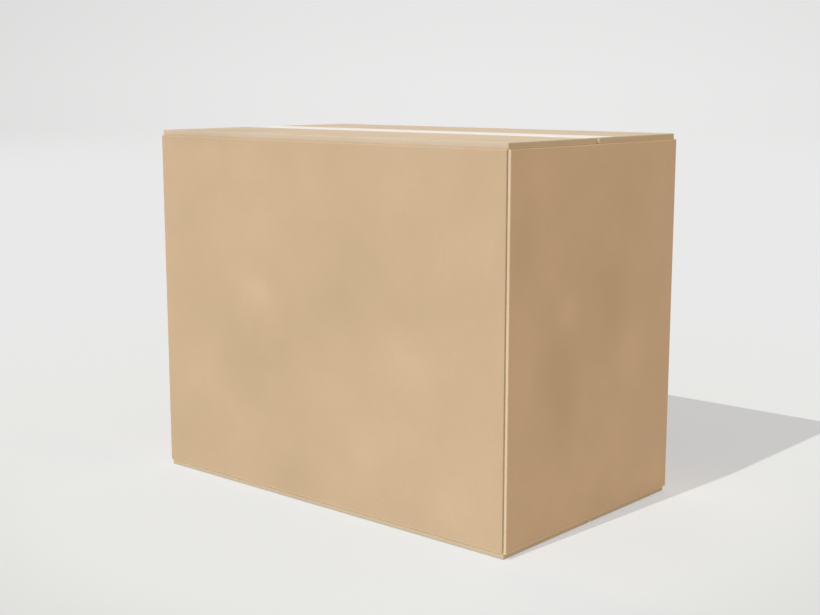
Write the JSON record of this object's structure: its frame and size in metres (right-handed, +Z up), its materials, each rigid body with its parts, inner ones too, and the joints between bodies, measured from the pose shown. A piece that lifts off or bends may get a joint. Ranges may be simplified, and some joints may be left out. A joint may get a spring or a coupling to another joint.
{
  "type": "closed cardboard box",
  "caption": "Plain brown corrugated shipping carton, closed, with its outer flaps taped along the seam.",
  "frame": {"origin": "under the middle of the carton, in the plane it stands on", "axes": "+X along the length, +Y along the width towards the back, +Z up"},
  "size_m": [0.5, 0.297, 0.3954],
  "materials": {
    "board": "matt kraft board with faint mottling",
    "tape": "smooth off-white paper tape, slightly satin"
  },
  "bodies": {
    "root": {"carton": "board", "top_tape": "tape", "bottom_tape": "tape"}
  },
  "joints": []
}
